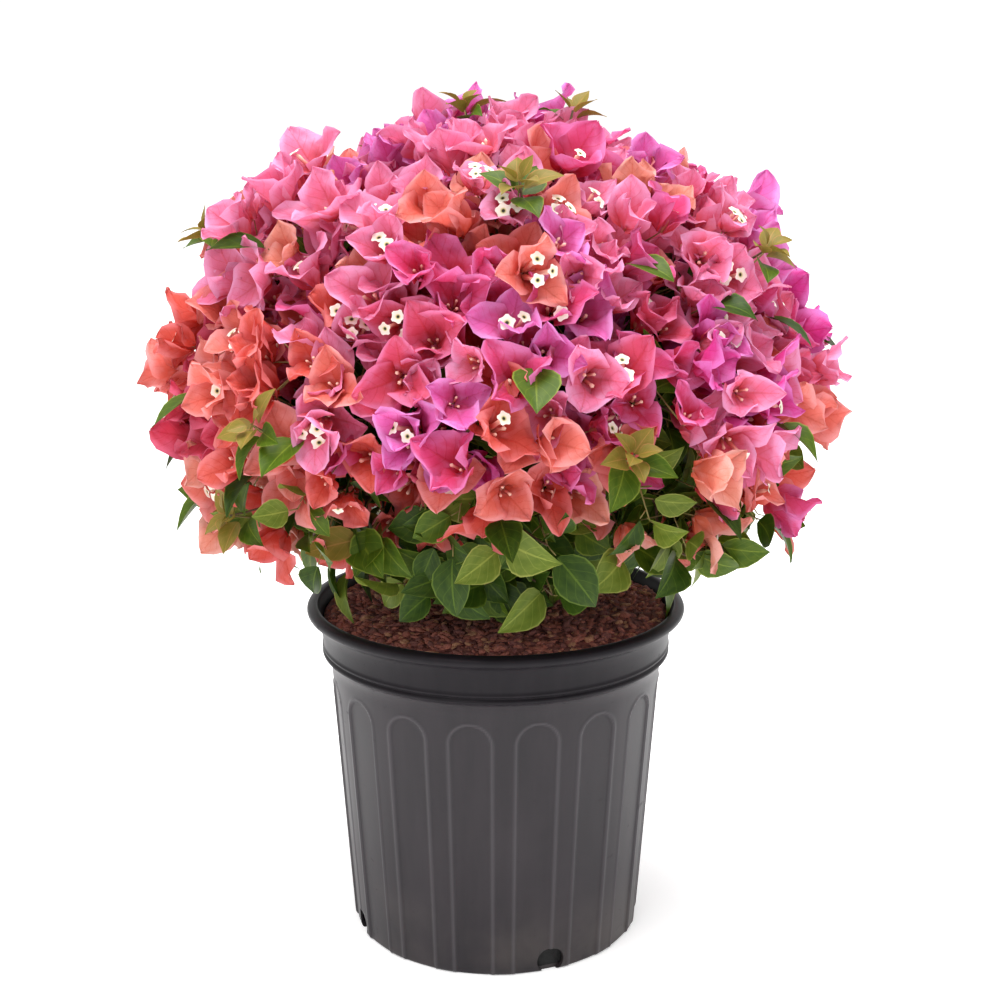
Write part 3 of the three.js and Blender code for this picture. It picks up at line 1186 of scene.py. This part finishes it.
def add_showing_leaves():
    """The few large green leaves that lie over the flowers."""
    for direction, reach, _, _ in reaches(spread_directions(SHOWING_LEAVES, 14)):
        foot = HEART + direction * (reach - SHOWING_DEPTH * MM)
        if foot.z < fringe_height(foot) or direction.z > 0.7:
            continue
        hang = (direction * 0.5 + DOWN * 0.6 + stray(direction, 60) * 0.5).normalized()
        on = stalk(foot - direction * 25 * MM, foot, thick=0.7)
        kind = chance.choice(("leaves_deep", "leaves_mid"))
        add_leaf(foot, hang, direction + UP * 0.5, kind, 0.95, on)


def make_crown():
    for mass in mass_names:
        own = [spray for spray in sprays if spray.owner == mass]
        if own:
            start, heading = limb_start(mass)
            grow(start, heading, own, thick=2.4)
    add_showing_leaves()


def make_woody_limbs():
    """The trunk and the boughs with their bark, as one mesh."""
    fine_rod = rod(12, 16)
    heap = Heap()
    knee = trunk_foot.lerp(trunk_head, 0.5)
    shape = bent(fine_rod, trunk_foot, knee, trunk_head, 1, 1)
    share = fine_rod.points[:, 2:3]
    line = np.array(trunk_foot) * (1 - share) + np.array(trunk_head) * share
    turn = np.arctan2(fine_rod.points[:, 1:2], fine_rod.points[:, 0:1])
    flare = 0.7 * np.exp(-share / 0.16) * (1 + 0.3 * np.cos(5 * turn))
    radius = 10 * MM * (1 - 0.25 * share) * (1 + flare)
    spokes = np.concatenate([fine_rod.points[:, :2], np.zeros_like(share)], axis=1)
    heap.shapes.append(shape.moved(line + spokes * radius))
    for start, bend, end in bough_lines.values():
        heap.shapes.append(bent(fine_rod, start, bend, end, 4.2 * MM, 2.3 * MM))
    for shape in heap.shapes:
        for point in shape.points:
            place = Vector(point)
            ridge = noise.noise(Vector((place.x * 160, place.y * 160, place.z * 45)))
            point += np.array([ridge, noise.noise(place * 210), 0]) * 0.7 * MM
    heap.make("woody_limbs", bark("bark"), "bark", ["trunk", *bough_names])


# ---- Pot and potting mix ----

FLUTES = 16
FLUTE_TURN = math.radians(14.1)
FLUTE_DEPTH = 1.7
FLUTE_TOP = 196
FLUTE_HALF = math.radians(6.85)
RIDGE = 0.7  # height of the fine ridge round a flute
COLLAR_FOOT = 214.6
EDGE = 1.3  # width of a flute's rounded edge
BODY_TOP = 203
BASE_RADIUS = 108
BODY_TOP_RADIUS = 122.5
NOTCHES = 4
NOTCH_TURN = math.radians(21.6)
NOTCH_RADIUS = 10
NOTCH_MIDDLE = 8.4  # the height of the middle of a notch's arch


def arc(centre, radius, start, end, steps):
    """Points of an arc in a profile, its angles in degrees from the outward direction."""
    turns = [math.radians(start + (end - start) * i / steps) for i in range(steps + 1)]
    return [(centre[0] + radius * math.cos(turn), centre[1] + radius * math.sin(turn)) for turn in turns]


def ladder(first, last, step):
    """Evenly spaced points from first up to, but not at, last in a profile."""
    count = max(1, round(math.hypot(last[0] - first[0], last[1] - first[1]) / step))
    return [
        (first[0] + (last[0] - first[0]) * i / count, first[1] + (last[1] - first[1]) * i / count)
        for i in range(count)
    ]


def body_radius(z):
    return BASE_RADIUS + (BODY_TOP_RADIUS - BASE_RADIUS) * z / BODY_TOP


def pot_profile():
    shoulder = (BODY_TOP_RADIUS, BODY_TOP)
    profile = [(0, 0)] + ladder((30, 0), (BASE_RADIUS - 3, 0), 25)
    profile += arc((BASE_RADIUS - 3, 3), 3, -90, -8, 5)
    profile += ladder((body_radius(5), 5), (body_radius(150), 150), 7)
    profile += ladder((body_radius(150), 150), shoulder, 1.5)
    profile += [shoulder, (122.9, 206), (124.0, 209.5), (125.8, 212.6), (127.6, 214.6)]
    profile += arc((127.6, 216.2), 1.6, -80, 60, 5)
    profile += [(127.7, 218.1), (127.4, 218.7), (127.7, 219.4)]
    profile += arc((127.9, 220.9), 1.4, -70, 60, 4)
    profile += [(128.6, 224), (129.0, 228), (129.9, 233), (131.4, 238), (133.6, 241.6), (136.2, 243.6)]
    profile += arc((136.4, 247.6), 3.6, -62, 72, 7)
    profile += [(136.6, 251.6), (134.8, 252)]
    profile += arc((133.4, 250.6), 1.4, 90, 180, 3)
    profile += [(131.2, 247.5), (129.0, 244), (126.6, 236), (125.6, 222), (119.5, 206), (105.0, 3), (0, 3)]
    return profile


def inside_flute(turn, z):
    """How far a place on the wall, by its angle from the front and its height, is inside the nearest flute's
    edge, and its angle from that flute's middle."""
    pitch = 2 * math.pi / FLUTES
    off = (turn - FLUTE_TURN + pitch / 2) % pitch - pitch / 2
    radius = body_radius(z)
    half = FLUTE_HALF * radius
    aside = abs(off) * radius
    centre = FLUTE_TOP - FLUTE_HALF * body_radius(FLUTE_TOP - 14)
    return half - (math.hypot(aside, z - centre) if z > centre else aside), off


def ridge_at(inside):
    """The fine ridge just outside a flute's edge, from 0 to 1."""
    return math.exp(-((inside + EDGE * 0.8) / 1.0) ** 2)


def flute_depth(turn, z):
    """How far the wall is pushed in: a flat, round-topped panel with a fine ridge round it."""
    inside, off = inside_flute(turn, z)
    radius = body_radius(z)
    ease = float(smooth_step(-EDGE / 2, EDGE / 2, inside))
    flat = radius * (1 - math.cos(FLUTE_HALF) / math.cos(off))
    return ease * (max(flat, 0) * 0.55 + FLUTE_DEPTH * 0.55) - RIDGE * ridge_at(inside)


def drain_notches(piece):
    """Cuts the arched drain notches through the foot of the wall, and only just into the base behind it."""
    work = bmesh.new()
    for i in range(NOTCHES):
        turn = NOTCH_TURN + i * 2 * math.pi / NOTCHES
        at_front = Matrix.Translation((0, -(BASE_RADIUS + 8.5) * MM, NOTCH_MIDDLE * MM))
        place = Matrix.Rotation(turn, 4, "Z") @ at_front @ Matrix.Rotation(math.pi / 2, 4, "X")
        radius = NOTCH_RADIUS * MM
        bmesh.ops.create_cone(
            work, cap_ends=True, segments=32, radius1=radius, radius2=radius, depth=26 * MM, matrix=place
        )
    cutter = in_scene("notch_cutter", raw_mesh(work, "notch_cutter"))
    cut = piece.modifiers.new("notches", "BOOLEAN")
    cut.operation = "DIFFERENCE"
    cut.solver = "EXACT"
    cut.object = cutter
    bpy.context.view_layer.update()
    result = bpy.data.meshes.new_from_object(piece.evaluated_get(bpy.context.evaluated_depsgraph_get()))
    piece.modifiers.clear()
    piece.data = result
    bpy.data.objects.remove(cutter)


def make_pot():
    work = turned(pot_profile(), FLUTES * 36, seam=(0, -1))
    # A per-point share of painted highlight, along the fine ridge round each flute.
    worn = work.verts.layers.float.new("worn")
    for vertex in work.verts:
        z = vertex.co.z / MM
        radius = math.hypot(vertex.co.x, vertex.co.y) / MM
        if z < BODY_TOP and radius > body_radius(z) - 2.2:
            turn = math.atan2(vertex.co.x, -vertex.co.y)
            vertex[worn] = ridge_at(inside_flute(turn, z)[0])
            foot = min(1, max(0, z / 3))
            shrink = (radius - flute_depth(turn, z) * (0.35 + 0.65 * foot)) / radius
            vertex.co.x *= shrink
            vertex.co.y *= shrink
    mesh = mesh_of(work, "nursery_pot")
    piece = finish_piece("nursery_pot", mesh, moulded_plastic("body_plastic", 0.31), ["pot"])
    mesh.materials.append(moulded_plastic("collar_plastic", 0.14))
    for face in mesh.polygons:
        face.material_index = int(face.center.z > COLLAR_FOOT * MM)
    drain_notches(piece)


SOIL_RADIUS = 127.6
SOIL_TOP = 246.5  # the middling height of its lumpy top
BARE_MIDDLE = 15  # the radius round the trunk that no crumb lies in
CRUMBS = 4200
LARGE_CHIPS = 240
CHIPS = {
    # kind: its share of the crumbs, and its dark and its light colour
    "dark": (11, paint(108, 58, 54), paint(170, 110, 102)),
    "red": (9, paint(148, 76, 64), paint(208, 134, 116)),
    "tan": (1, paint(170, 108, 80), paint(226, 172, 136)),
}


def soil_height(x, y):
    """The potting mix's lumpy top, at a place in metres."""
    away = math.hypot(x, y) / MM
    lumps = noise.noise(Vector((x * 26, y * 26, 1.3))) * 2.2
    lumps += noise.noise(Vector((x * 90, y * 90, 4.1))) * 1.5
    return (SOIL_TOP + 1.5 * math.cos(away / 45) + lumps - 1.2 * max(0, away - 100) / 25) * MM


def make_potting_mix():
    profile = [(0, 3.5), (104, 3.5), (118.6, 206), (124.6, 222), (125.8, 236), (SOIL_RADIUS, 242)]
    profile += ladder((SOIL_RADIUS - 2, 245), (0, 248), 3.2) + [(0, 248)]
    work = turned(profile, 128)
    for vertex in work.verts:
        if vertex.co.z > 244 * MM:
            vertex.co.z = soil_height(vertex.co.x, vertex.co.y)
    mesh = mesh_of(work, "potting_mix_bed")
    finish = damp_bark_mix("damp_bark_mix", paint(92, 46, 42), paint(166, 100, 92))
    finish_piece("potting_mix_bed", mesh, finish, ["potting_mix"])


def chip(dice):
    """A flat crumb of bark with broken edges."""
    work = bmesh.new()
    bmesh.ops.create_icosphere(work, subdivisions=1, radius=1)
    for vertex in work.verts:
        vertex.co *= dice.uniform(0.72, 1.15)
    return shape_of(work, lambda points: points[:, :2] * 0.4 + 0.5)


def laid_on_mix(away, turn, size, lift, tilt, roll, stretch):
    """The placing of a chip on the potting mix, its middle lifted by a share of its size."""
    x, y = away * math.cos(turn), away * math.sin(turn)
    spin, spot = stand_up(Vector((x, y, soil_height(x, y) + size * lift)), tilt, roll)
    return spin @ np.diag([size * part for part in stretch]), spot


def make_bark_chips():
    """Crumbs and larger chips strewn over the potting mix, in three colours."""
    dice = random.Random(23)
    kinds = [chip(dice) for _ in range(12)]
    heaps = {colour: Heap() for colour in CHIPS}
    by_share = [colour for colour, (share, _, _) in CHIPS.items() for _ in range(share)]
    for _ in range(CRUMBS):
        away = SOIL_RADIUS * MM * 0.975 * math.sqrt(dice.random())
        turn = dice.uniform(0, 2 * math.pi)
        if away < BARE_MIDDLE * MM:
            continue
        size = dice.choice((1.0, 1.2, 1.5, 2.0, 2.6, 3.6)) * MM * dice.uniform(0.8, 1.3)
        tilt = stray(UP, degrees=50)
        roll = dice.uniform(0, 6)
        stretch = (dice.uniform(0.9, 2.1), dice.uniform(0.6, 1.0), dice.uniform(0.3, 0.6))
        spin, spot = laid_on_mix(away, turn, size, 0.1, tilt, roll, stretch)
        heaps[dice.choice(by_share)].add(dice.choice(kinds), spin, spot)
    for _ in range(LARGE_CHIPS):
        away = SOIL_RADIUS * MM * 0.95 * math.sqrt(dice.uniform(0.1, 1))
        turn = dice.uniform(0, 2 * math.pi)
        size = dice.uniform(2.4, 4.0) * MM
        tilt = Vector((dice.uniform(-0.5, 0.5), dice.uniform(-0.5, 0.5), 1))
        roll = dice.uniform(0, 6)
        stretch = (dice.uniform(1.0, 1.7), dice.uniform(0.6, 1.0), 0.4)
        spin, spot = laid_on_mix(away, turn, size, 0.3, tilt, roll, stretch)
        heaps[dice.choice(("tan", "red"))].add(dice.choice(kinds), spin, spot)
    for colour, (_, dark, light) in CHIPS.items():
        heaps[colour].make("chips_" + colour, bark_chip(colour + "_chip", dark, light), "potting_mix")


# ---- Putting it together ----

make_pot()
make_potting_mix()
make_bark_chips()
make_woody_limbs()
make_crown()

bract_masses = [name for name in mass_names if not is_skirt(name)]
skirt_masses = [name for name in mass_names if is_skirt(name)]
for shade, (heart, face, rim) in SHADES.items():
    finish = papery_bract("bract_" + shade, heart, face, rim)
    replaced = bract_masses if shade == "hot_pink" else ()
    bract_heaps[shade].make("bracts_" + shade, finish, "bracts", replaced)

leaf_finishes = {
    "leaves_deep": green_leaf("leaf_deep", paint(37, 60, 11), paint(84, 108, 30), paint(112, 134, 50)),
    "leaves_mid": green_leaf("leaf_mid", paint(60, 84, 14), paint(112, 130, 38), paint(148, 162, 64)),
    "leaves_fresh": green_leaf("leaf_fresh", paint(88, 106, 32), paint(144, 154, 66), paint(172, 174, 90)),
    "leaves_bronze": green_leaf("leaf_bronze", paint(120, 110, 42), paint(164, 126, 66), paint(194, 126, 82)),
}
for name, heap in leaf_heaps.items():
    heap.make(name, leaf_finishes[name], "leaves", skirt_masses if name == "leaves_mid" else ())

star_heap.make("star_flowers", cream_star("cream_star"), "bracts")
tubes = flower_tube("flower_tube", paint(150, 110, 70), paint(214, 110, 104), paint(244, 200, 180))
tube_heap.make("flower_tubes", tubes, "bracts")
twig_heap.make("twigs", green_twig("twig_bark", paint(96, 76, 48), paint(74, 50, 36)), "bark")
stalk_heap.make("stalks", green_twig("stalk_skin", paint(118, 128, 62), paint(150, 96, 66)), "leaves")


# ---- Studio ----


CAMERA_PLACE = (0.0032, -1.25, 0.638)
CAMERA_DIP = 13.99  # how many degrees below level it looks
LIT_MIDDLE = Vector((0, 0, 0.33))  # what the lights point at


def make_floor():
    """A pale floor that glows a little, so that it stays white under the plant."""
    work = bmesh.new()
    bmesh.ops.create_circle(work, cap_ends=True, segments=96, radius=14)
    floor = in_scene("studio_floor", raw_mesh(work, "studio_floor"))
    finish = Finish("pale_floor")
    cloud = finish.grain(finish.in_place(), 2.0)
    tint = finish.blend(cloud, paint(252, 252, 252), paint(254, 254, 254))
    inlets = {"Base Color": tint, "Roughness": 0.9, "Emission Color": tint, "Emission Strength": 0.28}
    floor.data.materials.append(finish.surface(inlets))


def make_surround():
    """An even white light from all round."""
    world = bpy.data.worlds.new("studio")
    world.use_nodes = True
    inlets = world.node_tree.nodes["Background"].inputs
    inlets["Color"].default_value = (1, 1, 1, 1)
    inlets["Strength"].default_value = 1.06
    bpy.context.scene.world = world


def make_softbox(name, place, size, power):
    lamp = bpy.data.lights.new(name, "AREA")
    lamp.shape = "DISK"
    lamp.size = size
    lamp.energy = power
    holder = in_scene(name, lamp)
    holder.location = place
    holder.rotation_euler = (LIT_MIDDLE - Vector(place)).to_track_quat("-Z", "Y").to_euler()


def make_camera():
    lens = bpy.data.cameras.new("camera")
    lens.lens = 63.1
    lens.sensor_width = 36
    camera = in_scene("camera", lens)
    camera.location = CAMERA_PLACE
    camera.rotation_euler = (math.radians(90 - CAMERA_DIP), 0, 0)
    bpy.context.scene.camera = camera
    bpy.context.scene.view_settings.view_transform = "Standard"


make_floor()
make_surround()
make_softbox("key_light", (-0.5, -1.0, 2.4), size=1.1, power=29)
make_softbox("top_light", (0.1, 0.1, 2.6), size=1.4, power=54)
make_camera()
